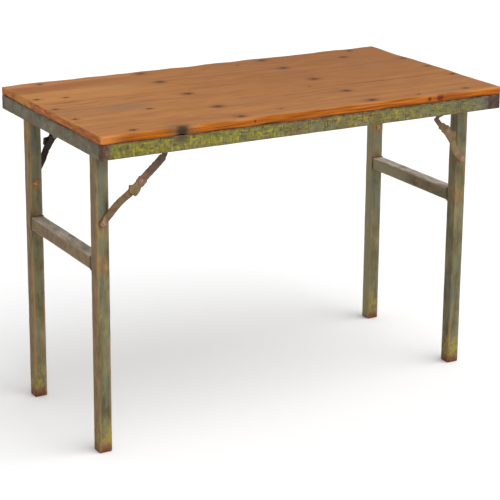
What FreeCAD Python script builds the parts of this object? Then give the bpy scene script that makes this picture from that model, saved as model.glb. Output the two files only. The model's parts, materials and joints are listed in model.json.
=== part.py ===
# Folding table: a plank top on an angle-iron rim, two tubular leg frames that fold flat under it,
# and four two-link braces that lock the frames open.
# Frame: +X along the table, +Y to the back, +Z up, origin on the floor under the middle of the top.
# Everything is modelled standing, with the legs open. Millimetres.
import FreeCAD, Part
import math
import os

# ---------------------------------------------------------------- driving dimensions
table_length = 1080.0
table_depth = 570.0
table_height = 760.0

# Plank top
board_count = 3
board_thickness = 20.0
board_gap = 1.0
board_overhang = 1.5          # planks stand out this far past the iron rim

# Angle-iron rim and the flat bars under the planks
rim_leg = 35.0
rim_wall = 4.0
bearer_width = 35.0
bearer_distance = 354.0       # between the centre lines of the two bars

# Countersunk screws that hold the planks down
screw_shank_radius = 3.0
screw_head_radius = 6.0
screw_head_depth = 3.5
screw_edge_inset = 25.0       # outer screws of a bar row, from the long edge of the top
screw_seam_inset = 53.0       # inner screws of an outer plank, from the seam
end_screw_pitch = 110.0       # spacing along each end of the top
corner_screw_inset = 90.0     # corner screws, from the end of the top

# Leg frames: square tube. Each frame is shifted sideways so that the two nest when folded.
tube_size = 32.0
tube_wall = 3.0
frame_width = 408.0
frame_shift = 38.0
leg_end_gap = 1.0             # leg to end rail
leg_top_gap = 1.0             # leg to the underside of the rim flange
cross_bar_below_pivot = 268.0
foot_lip = 3.0
foot_plug = 12.0
plug_clearance = 0.2

# Leg hinges: a bolt through two ears and a bush welded into the leg
ear_thickness = 4.0
ear_width = 30.0
ear_gap = 0.6                 # leg to ear
pivot_radius = 5.0
pivot_fit = 0.06              # radial running clearance
bush_wall = 2.0
bush_proud = 0.4
pivot_head_across = 16.0
pivot_head_height = 5.0
pivot_nut_height = 5.0
pivot_bolt_tail = 2.0

# Braces: a lower link from the leg and an upper link from the long rail, straight when open
brace_rise = 168.0            # leg pivot down to the leg rivet
brace_reach = 145.0           # leg pivot along to the rail bolt
rail_bolt_height = 13.0       # rail bolt above the rim's bottom edge
link_thickness = 4.0
link_gap = 0.4                # between links, and from a link to the leg
lower_link_width = 15.0
upper_link_width = 18.0
neck_width = 12.0
neck_length = 24.0
eye_radius = 9.0
brace_pin_radius = 4.0
brace_pin_fit = 0.06
brace_spacer_thickness = 4.5
brace_spacer_radius = 9.0
brace_bolt_head_radius = 8.0
brace_nut_across = 13.0
brace_nut_height = 5.0
brace_nut_gap = 0.3
rivet_head_radius = 8.0
rivet_head_height = 2.5
tail_length = 34.0            # upper link past the elbow rivet
tail_width = 22.0
lug_length = 14.0
lug_gap = 0.5
bend_margin = 14.0            # flat stretch of a cranked link past an eye
inner_crank_share = 0.65      # how much of an inner brace's sideways offset the upper link takes
inner_crank_length = 36.0     # an inner upper link's crank, from its rail eye on
inner_neck_length = 76.0

# ---------------------------------------------------------------- derived places
half_length = table_length / 2
half_depth = table_depth / 2
rim_top = table_height - board_thickness
rim_bottom = rim_top - rim_leg
rim_half_length = half_length - board_overhang
rim_half_depth = half_depth - board_overhang
rail_inside_y = rim_half_depth - rim_wall
flange_bottom = rim_top - rim_wall

half_tube = tube_size / 2
pivot_z = flange_bottom - leg_top_gap - half_tube
pivot_x = rim_half_length - rim_wall - leg_end_gap - half_tube
frame_half_width = frame_width / 2
near_face = frame_half_width + frame_shift    # frame's outer face on the side it is shifted to
far_face = frame_half_width - frame_shift     # and on the other side
rail_bolt_z = rim_bottom + rail_bolt_height

up = FreeCAD.Vector(0, 0, 1)
along_y = FreeCAD.Vector(0, 1, 0)
middle = FreeCAD.Vector(0, 0, 0)
parts = {}


def box(x0, x1, y0, y1, z0, z1):
    """A block between two corners."""
    return Part.makeBox(x1 - x0, y1 - y0, z1 - z0, FreeCAD.Vector(x0, y0, z0))


def rod_y(radius, y0, y1, x=0.0, z=0.0):
    """A round bar along Y from y0 to y1."""
    return Part.makeCylinder(radius, y1 - y0, FreeCAD.Vector(x, y0, z), along_y)


def hex_y(across, y0, y1, x, z):
    """A hexagon bar along Y, such as a bolt head or a nut."""
    radius = across / math.sqrt(3)
    corners = [
        FreeCAD.Vector(x + radius * math.cos(math.radians(a)), y0, z + radius * math.sin(math.radians(a)))
        for a in range(0, 361, 60)
    ]
    return Part.Face(Part.makePolygon(corners)).extrude(FreeCAD.Vector(0, y1 - y0, 0))


def prism(points, direction):
    """A flat outline pushed along a direction."""
    outline = Part.makePolygon(points + [points[0]])
    return Part.Face(outline).extrude(direction)


def turned(shape):
    """A copy turned half round about the table's vertical middle line."""
    copy = shape.copy()
    copy.rotate(middle, up, 180)
    return copy


def group(shapes):
    """Several separate solids kept in one sub-part."""
    return shapes[0] if len(shapes) == 1 else Part.makeCompound(shapes)


# ---------------------------------------------------------------- screws
board_width = (table_depth - (board_count - 1) * board_gap) / board_count
board_pitch = board_width + board_gap
bearer_x = bearer_distance / 2
seam_y = half_depth - board_width

screw_rows = {
    bearer_x: [half_depth - screw_edge_inset, seam_y + screw_seam_inset, 0.0],
    half_length - board_overhang - rim_leg / 2: [end_screw_pitch, 0.0],
    half_length - corner_screw_inset: [half_depth - screw_edge_inset],
}
screw_places = sorted(
    {(sx * x, sy * y) for x, row in screw_rows.items() for y in row for sx in (-1, 1) for sy in (-1, 1)}
)


def screw(x, y):
    """A countersunk screw whose head is flush with the planks and whose end is flush with the iron."""
    head = Part.makeCone(
        screw_shank_radius, screw_head_radius, screw_head_depth,
        FreeCAD.Vector(x, y, table_height - screw_head_depth), up,
    )
    shank_height = board_thickness + rim_wall - screw_head_depth
    shank = Part.makeCylinder(screw_shank_radius, shank_height, FreeCAD.Vector(x, y, flange_bottom), up)
    return head.fuse(shank).removeSplitter()


screws = [screw(x, y) for x, y in screw_places]
parts["top_screws"] = group(screws)


def drilled(shape):
    """The shape with holes for the screws that pass through it."""
    hits = [s for s in screws if s.BoundBox.intersect(shape.BoundBox)]
    return shape.cut(hits) if hits else shape


# ---------------------------------------------------------------- planks
board_names = ["board_front", "board_middle", "board_back"]
for number, name in enumerate(board_names):
    y0 = -half_depth + number * board_pitch
    plank = box(-half_length, half_length, y0, y0 + board_width, rim_top, table_height)
    parts[name] = drilled(plank)


# ---------------------------------------------------------------- rim
def rim_rail(half_span):
    """Angle iron along X with its web at the front and 45 degree mitres, outer face on Y = 0."""
    profile = [
        FreeCAD.Vector(-half_span, 0, rim_top),
        FreeCAD.Vector(-half_span, 0, rim_bottom),
        FreeCAD.Vector(-half_span, rim_wall, rim_bottom),
        FreeCAD.Vector(-half_span, rim_wall, flange_bottom),
        FreeCAD.Vector(-half_span, rim_leg, flange_bottom),
        FreeCAD.Vector(-half_span, rim_leg, rim_top),
    ]
    bar = prism(profile, FreeCAD.Vector(2 * half_span, 0, 0))
    mitre = prism(
        [
            FreeCAD.Vector(-half_span, 0, rim_bottom),
            FreeCAD.Vector(half_span, 0, rim_bottom),
            FreeCAD.Vector(half_span - rim_leg, rim_leg, rim_bottom),
            FreeCAD.Vector(-half_span + rim_leg, rim_leg, rim_bottom),
        ],
        FreeCAD.Vector(0, 0, rim_leg),
    )
    return bar.common(mitre)


long_rail = rim_rail(rim_half_length)
long_rail.translate(FreeCAD.Vector(0, -rim_half_depth, 0))
rail_bolt_x = pivot_x - brace_reach
for x in (-rail_bolt_x, rail_bolt_x):
    hole = rod_y(brace_pin_radius, -rim_half_depth, -rail_inside_y, x, rail_bolt_z)
    long_rail = long_rail.cut(hole)
end_rail = rim_rail(rim_half_depth)
end_rail.rotate(middle, up, -90)
end_rail.translate(FreeCAD.Vector(-rim_half_length, 0, 0))

parts["rail_front"] = drilled(long_rail)
parts["rail_back"] = drilled(turned(long_rail))
parts["rail_left"] = drilled(end_rail)
parts["rail_right"] = drilled(turned(end_rail))

bearer_end = rim_half_depth - rim_leg
for name, x in (("bearer_left", -bearer_x), ("bearer_right", bearer_x)):
    bar = box(x - bearer_width / 2, x + bearer_width / 2, -bearer_end, bearer_end, flange_bottom, rim_top)
    parts[name] = drilled(bar)


# ---------------------------------------------------------------- leg frames, built as the left one
bush_radius = pivot_radius + pivot_fit + bush_wall
leg_x0 = -pivot_x - half_tube
leg_x1 = -pivot_x + half_tube


def leg(y0):
    """A square tube leg with a half-round top end and a cross hole for its bush."""
    y1 = y0 + tube_size
    body = box(leg_x0, leg_x1, y0, y1, foot_lip, pivot_z)
    body = body.fuse(rod_y(half_tube, y0, y1, -pivot_x, pivot_z))
    hollow = box(
        leg_x0 + tube_wall, leg_x1 - tube_wall, y0 + tube_wall, y1 - tube_wall,
        foot_lip, pivot_z + tube_size,
    )
    tube = body.cut(hollow).cut(rod_y(bush_radius, y0, y1, -pivot_x, pivot_z))
    return tube.removeSplitter()


def foot(y0):
    """A plate that closes the end of a leg, with a plug inside the tube."""
    y1 = y0 + tube_size
    inset = tube_wall + plug_clearance
    lip = box(leg_x0, leg_x1, y0, y1, 0.0, foot_lip)
    plug = box(leg_x0 + inset, leg_x1 - inset, y0 + inset, y1 - inset, foot_lip, foot_lip + foot_plug)
    return lip.fuse(plug)


def bush(y0):
    """The sleeve that the hinge bolt turns in."""
    y1 = y0 + tube_size
    sleeve = rod_y(bush_radius, y0 - bush_proud, y1 + bush_proud, -pivot_x, pivot_z)
    return sleeve.cut(rod_y(pivot_radius + pivot_fit, y0 - tube_size, y1 + tube_size, -pivot_x, pivot_z))


def ear(y0):
    """A hinge ear that hangs from the end rail's flange beside a leg."""
    y1 = y0 + ear_thickness
    half = ear_width / 2
    plate = box(-pivot_x - half, -pivot_x + half, y0, y1, pivot_z, flange_bottom)
    plate = plate.fuse(rod_y(half, y0, y1, -pivot_x, pivot_z))
    return plate.cut(rod_y(pivot_radius, y0, y1, -pivot_x, pivot_z)).removeSplitter()


def hinge_pieces(y0, outward):
    """The two ears, bolt and nut of one leg. The bolt's head is on the outward side, -1 or 1."""
    low = y0 - ear_gap - ear_thickness
    high = y0 + tube_size + ear_gap + ear_thickness
    ears = [ear(low), ear(high - ear_thickness)]
    if outward < 0:
        head = hex_y(pivot_head_across, low - pivot_head_height, low, -pivot_x, pivot_z)
        nut_from, nut_to = high, high + pivot_nut_height
        shank = rod_y(pivot_radius, low, nut_to + pivot_bolt_tail, -pivot_x, pivot_z)
    else:
        head = hex_y(pivot_head_across, high, high + pivot_head_height, -pivot_x, pivot_z)
        nut_from, nut_to = low - pivot_nut_height, low
        shank = rod_y(pivot_radius, nut_from - pivot_bolt_tail, high, -pivot_x, pivot_z)
    bore = rod_y(pivot_radius, nut_from, nut_to, -pivot_x, pivot_z)
    nut = hex_y(pivot_head_across, nut_from, nut_to, -pivot_x, pivot_z).cut(bore)
    return ears, head.fuse(shank), nut


front_leg_y = -near_face
back_leg_y = far_face - tube_size
bar_z = pivot_z - cross_bar_below_pivot
bar_y0 = front_leg_y + tube_size
cross_bar = box(leg_x0, leg_x1, bar_y0, back_leg_y, bar_z - half_tube, bar_z + half_tube)
cross_bar = cross_bar.cut(
    box(
        leg_x0 + tube_wall, leg_x1 - tube_wall, bar_y0, back_leg_y,
        bar_z - half_tube + tube_wall, bar_z + half_tube - tube_wall,
    )
)
front_ears, front_bolt, front_nut = hinge_pieces(front_leg_y, -1)
back_ears, back_bolt, back_nut = hinge_pieces(back_leg_y, 1)

left_frame = {
    "left_front_leg": leg(front_leg_y),
    "left_back_leg": leg(back_leg_y),
    "left_cross_bar": cross_bar,
    "left_feet": group([foot(front_leg_y), foot(back_leg_y)]),
    "left_pivot_bushes": group([bush(front_leg_y), bush(back_leg_y)]),
    "hinge_ears_left": group(front_ears + back_ears),
    "left_pivot_bolts": group([front_bolt, back_bolt]),
    "left_pivot_nuts": group([front_nut, back_nut]),
}
# The right frame is the left one turned half round, so its front leg is the left frame's back leg.
right_names = {
    "left_front_leg": "right_back_leg",
    "left_back_leg": "right_front_leg",
    "hinge_ears_left": "hinge_ears_right",
}
for name, shape in left_frame.items():
    parts[name] = shape
    parts[right_names.get(name, name.replace("left", "right"))] = turned(shape)


# ---------------------------------------------------------------- braces, built at the front left
leg_rivet = (-pivot_x, pivot_z - brace_rise)
rail_bolt = (-rail_bolt_x, rail_bolt_z)
folded_rivet = (-pivot_x + brace_rise, pivot_z)
# The links lie in line both with the leg open and, doubled back, with the leg folded.
open_span = math.dist(leg_rivet, rail_bolt)
folded_span = math.dist(folded_rivet, rail_bolt)
lower_length = (open_span + folded_span) / 2
upper_length = open_span - lower_length
brace_angle = math.degrees(math.atan2(rail_bolt[1] - leg_rivet[1], rail_bolt[0] - leg_rivet[0]))
elbow = (
    leg_rivet[0] + lower_length * math.cos(math.radians(brace_angle)),
    leg_rivet[1] + lower_length * math.sin(math.radians(brace_angle)),
)


def strap(bends, width_outline):
    """A cranked strap along X. bends are (x, y) of its middle line; width_outline is its (x, z) shape."""
    half = link_thickness / 2
    near, far = [], []
    for number, (x, y) in enumerate(bends):
        slopes = [
            math.atan2(bends[k + 1][1] - bends[k][1], bends[k + 1][0] - bends[k][0])
            for k in (number - 1, number) if 0 <= k < len(bends) - 1
        ]
        lean = sum(slopes) / len(slopes)
        out = half / math.cos(lean - slopes[0])
        near.append(FreeCAD.Vector(x + out * math.sin(lean), y - out * math.cos(lean), 0))
        far.append(FreeCAD.Vector(x - out * math.sin(lean), y + out * math.cos(lean), 0))
    edge = near + far[::-1]
    side = prism(edge, FreeCAD.Vector(0, 0, 4 * tail_width))
    side.translate(FreeCAD.Vector(0, 0, -2 * tail_width))
    return side.common(width_outline)


def slab(x0, x1, z0, z1, reach):
    """A block that is wide enough in Y to cover a strap's whole crank."""
    return box(x0, x1, -reach, reach, z0, z1)


def placed(shape, angle, start):
    """A link built along X, turned to its slope and moved to its first pin."""
    shape.rotate(middle, along_y, -angle)
    shape.translate(FreeCAD.Vector(start[0], 0, start[1]))
    return shape


def brace(name, leg_face_y, crank_share, crank_to, neck_to):
    """One brace at the front left, for a leg whose outer face is at leg_face_y."""
    pin_hole = brace_pin_radius + brace_pin_fit
    upper_y = -rail_inside_y + brace_spacer_thickness + link_thickness / 2
    leg_end_y = leg_face_y - link_gap - link_thickness / 2
    lap = link_thickness + link_gap
    elbow_y = upper_y + crank_share * (leg_end_y - lap - upper_y)
    lower_y = elbow_y + lap
    reach = 2 * rim_half_depth

    # Lower link: leg eye at X = 0, elbow eye at X = lower_length
    half = lower_link_width / 2
    outline = slab(0.0, lower_length, -half, half, reach)
    outline = outline.fuse(rod_y(eye_radius, -reach, reach))
    outline = outline.fuse(rod_y(eye_radius, -reach, reach, lower_length))
    flat_from = lower_length - tail_length - link_thickness
    lower = strap(
        [
            (-eye_radius, leg_end_y), (bend_margin, leg_end_y),
            (flat_from, lower_y), (lower_length + eye_radius, lower_y),
        ],
        outline,
    )
    lower = lower.cut(rod_y(brace_pin_radius, -reach, reach))
    lower = lower.cut(rod_y(pin_hole, -reach, reach, lower_length))

    # Upper link: rail eye at X = 0, elbow hole at X = upper_length, then the tail with its stop lug
    tail_end = upper_length + tail_length
    wide = upper_link_width / 2
    neck = neck_width / 2
    tail_from = upper_length - eye_radius
    lug_low = lower_link_width / 2 + lug_gap
    lug_high = lug_low + link_thickness
    outline = rod_y(eye_radius, -reach, reach)
    outline = outline.fuse(slab(0.0, neck_to, -neck, neck, reach))
    outline = outline.fuse(slab(neck_to, upper_length, -wide, wide, reach))
    outline = outline.fuse(slab(tail_from, tail_end, -lug_high, tail_width / 2, reach))
    upper = strap(
        [
            (-eye_radius, upper_y), (bend_margin, upper_y),
            (crank_to, elbow_y), (tail_end, elbow_y),
        ],
        outline,
    )
    lug = box(
        tail_end - lug_length, tail_end, elbow_y - link_thickness / 2, lower_y + link_thickness / 2,
        -lug_high, -lug_low,
    )
    upper = upper.fuse(lug).removeSplitter()
    upper = upper.cut(rod_y(pin_hole, -reach, reach))
    upper = upper.cut(rod_y(brace_pin_radius, -reach, reach, upper_length))

    # Elbow rivet: tight in the upper link, free in the lower one
    outer_face = elbow_y - link_thickness / 2
    inner_face = lower_y + link_thickness / 2 + link_gap / 2
    elbow_rivet = rod_y(brace_pin_radius, outer_face, inner_face)
    elbow_rivet = elbow_rivet.fuse(
        Part.makeCone(
            rivet_head_radius, rivet_head_radius / 2, rivet_head_height,
            FreeCAD.Vector(0, outer_face, 0), -along_y,
        )
    )
    elbow_rivet = elbow_rivet.fuse(
        Part.makeCone(
            rivet_head_radius, rivet_head_radius / 2, rivet_head_height,
            FreeCAD.Vector(0, inner_face, 0), along_y,
        )
    )

    # Leg rivet: a stub in the lower link that stops short of the leg's face
    stub_from = leg_end_y - link_thickness / 2
    stub = rod_y(brace_pin_radius, stub_from, leg_end_y + link_thickness / 2)
    stub = stub.fuse(
        Part.makeCone(
            rivet_head_radius, rivet_head_radius / 2, rivet_head_height,
            FreeCAD.Vector(0, stub_from, 0), -along_y,
        )
    )

    # Rail bolt with its spacer and nut
    upper_inner = upper_y + link_thickness / 2
    nut_from = upper_inner + brace_nut_gap
    nut_to = nut_from + brace_nut_height
    bolt = rod_y(brace_pin_radius, -rim_half_depth, nut_to)
    bolt = bolt.fuse(
        Part.makeCone(
            brace_bolt_head_radius, brace_bolt_head_radius / 2, board_overhang,
            FreeCAD.Vector(0, -rim_half_depth, 0), -along_y,
        )
    )
    spacer_ring = rod_y(brace_spacer_radius, -rail_inside_y, -rail_inside_y + brace_spacer_thickness)
    spacer_ring = spacer_ring.cut(rod_y(brace_pin_radius, -reach, reach))
    nut = hex_y(brace_nut_across, nut_from, nut_to, 0.0, 0.0)
    nut = nut.cut(rod_y(brace_pin_radius, -reach, reach))

    return {
        name + "_lower_link": placed(lower, brace_angle, leg_rivet),
        name + "_upper_link": placed(upper, brace_angle + 180, rail_bolt),
        name + "_elbow_rivet": placed(elbow_rivet, 0.0, elbow),
        name + "_leg_rivet": placed(stub, 0.0, leg_rivet),
        name + "_brace_bolt": placed(bolt, 0.0, rail_bolt),
        name + "_brace_spacer": placed(spacer_ring, 0.0, rail_bolt),
        name + "_brace_nut": placed(nut, 0.0, rail_bolt),
    }


# Outer braces stand close to the long rail; inner braces reach across to the leg that is set in.
straight_to = upper_length - bend_margin
inner_crank_to = bend_margin + inner_crank_length
outer_brace = brace("front_left", -near_face, 0.0, straight_to, neck_length)
inner_brace = brace("front_right", -far_face, inner_crank_share, inner_crank_to, inner_neck_length)
for name, shape in outer_brace.items():
    parts[name] = shape
    parts[name.replace("front_left", "back_right")] = turned(shape)
for name, shape in inner_brace.items():
    flipped = shape.mirror(middle, FreeCAD.Vector(1, 0, 0))
    parts[name] = flipped
    parts[name.replace("front_right", "back_left")] = turned(flipped)

# ---------------------------------------------------------------- write the sub-parts
os.makedirs("parts", exist_ok=True)
for name, shape in sorted(parts.items()):
    shape.exportStep(os.path.join("parts", name + ".step"))
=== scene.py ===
import bmesh
import bpy
import json
import math
from mathutils import Matrix, Vector, noise


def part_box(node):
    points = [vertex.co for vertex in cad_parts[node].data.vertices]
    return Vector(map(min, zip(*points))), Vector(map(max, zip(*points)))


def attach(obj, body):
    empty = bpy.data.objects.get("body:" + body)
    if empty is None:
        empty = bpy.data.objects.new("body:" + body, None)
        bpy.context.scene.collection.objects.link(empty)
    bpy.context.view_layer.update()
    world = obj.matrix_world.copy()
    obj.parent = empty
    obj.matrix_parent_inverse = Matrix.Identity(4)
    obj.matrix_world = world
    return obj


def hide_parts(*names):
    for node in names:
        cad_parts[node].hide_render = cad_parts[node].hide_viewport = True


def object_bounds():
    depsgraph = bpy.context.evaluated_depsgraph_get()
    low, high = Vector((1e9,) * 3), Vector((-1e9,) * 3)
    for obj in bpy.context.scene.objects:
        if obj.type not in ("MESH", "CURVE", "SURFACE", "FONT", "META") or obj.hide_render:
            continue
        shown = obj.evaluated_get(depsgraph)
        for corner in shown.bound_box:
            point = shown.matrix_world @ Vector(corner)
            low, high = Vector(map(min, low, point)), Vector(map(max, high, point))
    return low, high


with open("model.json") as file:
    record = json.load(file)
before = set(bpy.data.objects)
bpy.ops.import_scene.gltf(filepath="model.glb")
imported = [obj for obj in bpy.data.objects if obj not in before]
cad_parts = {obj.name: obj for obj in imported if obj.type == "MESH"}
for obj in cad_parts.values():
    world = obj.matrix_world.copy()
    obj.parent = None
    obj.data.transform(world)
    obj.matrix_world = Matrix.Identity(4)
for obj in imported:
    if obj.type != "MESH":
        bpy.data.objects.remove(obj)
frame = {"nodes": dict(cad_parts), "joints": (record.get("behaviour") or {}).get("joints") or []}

cad_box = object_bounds()

# ------------------------------------------------------------------ planks
# Three planks of old softwood, planed and laid side by side with the grain along the table, then
# drilled and countersunk for the screws. Hands and cloths have rounded the outer edges and
# bleached the top face, while the sawn edges keep the orange of old shellac.


def add(tree, kind, values=None, **settings):
    """Adds a node, sets its properties, and fills or links its inputs by name or number."""
    item = tree.nodes.new(kind)
    for name, value in settings.items():
        setattr(item, name, value)
    for key, value in (values or {}).items():
        if isinstance(value, bpy.types.NodeSocket):
            tree.links.new(value, item.inputs[key])
        else:
            item.inputs[key].default_value = value
    return item


def colour(red, green, blue):
    """A paint card colour, 0 to 255, as the linear light that a shader takes."""
    shares = [v / 255 for v in (red, green, blue)]
    return tuple(v / 12.92 if v <= 0.04045 else ((v + 0.055) / 1.055) ** 2.4 for v in shares) + (1.0,)


def calc(tree, operation, first, second=0.0, third=0.0):
    """One sum on numbers or sockets."""
    return add(tree, "ShaderNodeMath", {0: first, 1: second, 2: third}, operation=operation).outputs[0]


def between(tree, value, low, high):
    """0 before low, 1 after high, and smooth between. low may be the larger of the two."""
    values = {"Value": value, "From Min": low, "From Max": high}
    return add(tree, "ShaderNodeMapRange", values, interpolation_type="SMOOTHSTEP").outputs[0]


def window(tree, value, low, high, soft):
    """1 from low to high along one direction, fading over soft at both ends."""
    rise = between(tree, value, low - soft, low + soft)
    fall = between(tree, value, high + soft, high - soft)
    return calc(tree, "MULTIPLY", rise, fall)


def speckle(tree, place, stretch, detail=4.0, rough=0.6, shift=(0.0, 0.0, 0.0), warp=0.0):
    """Cloudy noise from 0 to 1. stretch is how many clouds go in a metre along X, Y and Z."""
    moved = add(tree, "ShaderNodeMapping", {"Vector": place, "Scale": stretch, "Location": shift})
    values = {"Vector": moved.outputs[0], "Scale": 1.0, "Detail": detail, "Roughness": rough, "Distortion": warp}
    return add(tree, "ShaderNodeTexNoise", values).outputs[0]


def coat(tree, share, under, over):
    """One colour laid over another, by share."""
    values = {0: share, 6: under, 7: over}
    return add(tree, "ShaderNodeMix", values, data_type="RGBA").outputs[2]


def ramp(tree, factor, stops):
    """Colours along a factor from 0 to 1."""
    item = add(tree, "ShaderNodeValToRGB", {0: factor})
    band = item.color_ramp.elements
    while len(band) < len(stops):
        band.new(1.0)
    for number, (where, shade) in enumerate(stops):
        band[number].position = where
        band[number].color = shade
    return item.outputs[0]


def spot(tree, place, centre, size, ragged=0.5):
    """A soft-edged mark, 1 at its centre. size is its half size along X, Y and Z."""
    away = add(tree, "ShaderNodeVectorMath", {0: place, 1: centre}, operation="SUBTRACT").outputs[0]
    scaled = add(tree, "ShaderNodeVectorMath", {0: away, 1: size}, operation="DIVIDE").outputs[0]
    reach = add(tree, "ShaderNodeVectorMath", {0: scaled}, operation="LENGTH").outputs["Value"]
    clouds = speckle(tree, place, (90, 140, 140), detail=3)
    edge = calc(tree, "MULTIPLY_ADD", clouds, ragged)
    return between(tree, calc(tree, "ADD", reach, edge), 1.0 + ragged, 0.45 + ragged / 2)


def split(tree, place):
    """The X, Y and Z of a place."""
    return add(tree, "ShaderNodeSeparateXYZ", {0: place}).outputs[:3]


def new_material(name):
    """A material, its tree, its shader and the place on the piece."""
    material = bpy.data.materials.new(name)
    material.use_nodes = True
    tree = material.node_tree
    place = add(tree, "ShaderNodeTexCoord").outputs["Object"]
    return material, tree, tree.nodes["Principled BSDF"], place


def finish_with(tree, shader, shade, roughness, height, depth):
    """Joins colour, roughness and relief to the shader. depth is the relief's height in metres."""
    tree.links.new(shade, shader.inputs["Base Color"])
    if isinstance(roughness, bpy.types.NodeSocket):
        tree.links.new(roughness, shader.inputs["Roughness"])
    else:
        shader.inputs["Roughness"].default_value = roughness
    relief = add(tree, "ShaderNodeBump", {"Height": height, "Distance": depth, "Strength": 1.0})
    tree.links.new(relief.outputs[0], shader.inputs["Normal"])


def merged_copy(node):
    """A CAD node's shape with its loose triangles joined."""
    shape = bmesh.new()
    shape.from_mesh(frame["nodes"][node].data)
    bmesh.ops.remove_doubles(shape, verts=shape.verts, dist=1e-6)
    return shape


def solids_of(node):
    """The lowest and highest corner of each separate solid in a CAD node, in a fixed order."""
    shape = merged_copy(node)
    left = set(shape.verts)
    found = []
    while left:
        front = [left.pop()]
        group = []
        while front:
            vertex = front.pop()
            group.append(tuple(vertex.co))
            others = [edge.other_vert(vertex) for edge in vertex.link_edges]
            fresh = [other for other in others if other in left]
            left.difference_update(fresh)
            front.extend(fresh)
        sides = list(zip(*group))
        found.append((Vector([min(side) for side in sides]), Vector([max(side) for side in sides])))
    shape.free()
    return sorted(found, key=lambda corners: [round(c, 4) for c in corners[0]])


def steps(low, high, pitch, ease):
    """Places across one side of a block: close near both ends, about pitch apart between."""
    count = max(1, round((high - low - 2 * ease) / pitch))
    fine = [0.0, 0.3 * ease, 0.65 * ease, ease]
    middle = [low + ease + (high - low - 2 * ease) * i / count for i in range(1, count)]
    return [low + f for f in fine] + middle + [high - f for f in reversed(fine)]


def eased_box(low, high, pitch, ease):
    """A closed block with its edges rounded to the radius ease. pitch is its cell size each way."""
    grid = [steps(low[a], high[a], pitch[a], ease) for a in range(3)]
    last = [len(places) - 1 for places in grid]
    shape = bmesh.new()
    made = {}
    for a in range(3):
        b, c = (a + 1) % 3, (a + 2) % 3
        for side in (0, last[a]):
            for i in range(last[b]):
                for j in range(last[c]):
                    cell = []
                    for di, dj in ((0, 0), (1, 0), (1, 1), (0, 1)):
                        key = [side, side, side]
                        key[b], key[c] = i + di, j + dj
                        key = tuple(key)
                        if key not in made:
                            made[key] = shape.verts.new([grid[n][key[n]] for n in range(3)])
                        cell.append(made[key])
                    shape.faces.new(cell if side else cell[::-1])
    for vertex in shape.verts:
        core = Vector([min(max(vertex.co[n], low[n] + ease), high[n] - ease) for n in range(3)])
        out = vertex.co - core
        vertex.co = core + out.normalized() * max(abs(part) for part in out)
    return shape


def as_mesh(name, shape):
    """Turns a bmesh into a smooth mesh and frees it."""
    mesh = bpy.data.meshes.new(name)
    shape.to_mesh(mesh)
    shape.free()
    mesh.shade_smooth()
    return mesh


def as_piece(name, mesh, material=None):
    """Puts a mesh in the scene as an object at the origin."""
    piece = bpy.data.objects.new(name, mesh)
    bpy.context.scene.collection.objects.link(piece)
    if material:
        mesh.materials.clear()
        mesh.materials.append(material)
    return piece


def new_tree(name, inputs):
    """An empty geometry tree with its named inputs, its start and its end."""
    tree = bpy.data.node_groups.new(name, "GeometryNodeTree")
    for label, kind in [("Geometry", "Geometry")] + inputs:
        tree.interface.new_socket(label, in_out="INPUT", socket_type="NodeSocket" + kind)
    tree.interface.new_socket("Geometry", in_out="OUTPUT", socket_type="NodeSocketGeometry")
    return tree, tree.nodes.new("NodeGroupInput").outputs, tree.nodes.new("NodeGroupOutput").inputs


def grow(piece, tree, settings):
    """Runs a geometry tree on a piece and keeps the result as its plain mesh."""
    stage = piece.modifiers.new(tree.name, "NODES")
    stage.node_group = tree
    for item in tree.interface.items_tree:
        if item.in_out == "INPUT" and item.name in settings:
            stage[item.identifier] = settings[item.name]
    graph = bpy.context.evaluated_depsgraph_get()
    result = bpy.data.meshes.new_from_object(piece.evaluated_get(graph))
    piece.modifiers.remove(stage)
    piece.data = result
    return piece


table_low, table_high = cad_box
top_face = table_high.z
screw_boxes = solids_of("top_screws")
screw_centres = [Vector(((a.x + b.x) / 2, (a.y + b.y) / 2, b.z)) for a, b in screw_boxes]
screw_head_radius = (screw_boxes[0][1].x - screw_boxes[0][0].x) / 2

tree, given, out = new_tree("countersink", [
    ("Screws", "Object"), ("Head radius", "Float"), ("Shank radius", "Float"),
    ("Depth", "Float"), ("Material", "Material"),
])
places = add(tree, "GeometryNodeObjectInfo", {"Object": given["Screws"]}).outputs["Geometry"]
cone = add(tree, "GeometryNodeMeshCone", {
    "Vertices": 28, "Radius Top": given["Head radius"], "Radius Bottom": given["Shank radius"],
    "Depth": given["Depth"],
})
sunk = add(tree, "ShaderNodeCombineXYZ", {"Z": calc(tree, "MULTIPLY", given["Depth"], -0.97)})
cutter = add(tree, "GeometryNodeTransform", {"Geometry": cone.outputs["Mesh"], "Translation": sunk.outputs[0]})
cutters = add(tree, "GeometryNodeInstanceOnPoints", {"Points": places, "Instance": cutter.outputs[0]})
real = add(tree, "GeometryNodeRealizeInstances", {0: cutters.outputs[0]})
drilled = add(tree, "GeometryNodeMeshBoolean", {0: given["Geometry"], 1: real.outputs[0]}, operation="DIFFERENCE")
painted = add(tree, "GeometryNodeSetMaterial", {"Geometry": drilled.outputs[0], "Material": given["Material"]})
tree.links.new(painted.outputs[0], out[0])
countersink = tree

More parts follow.
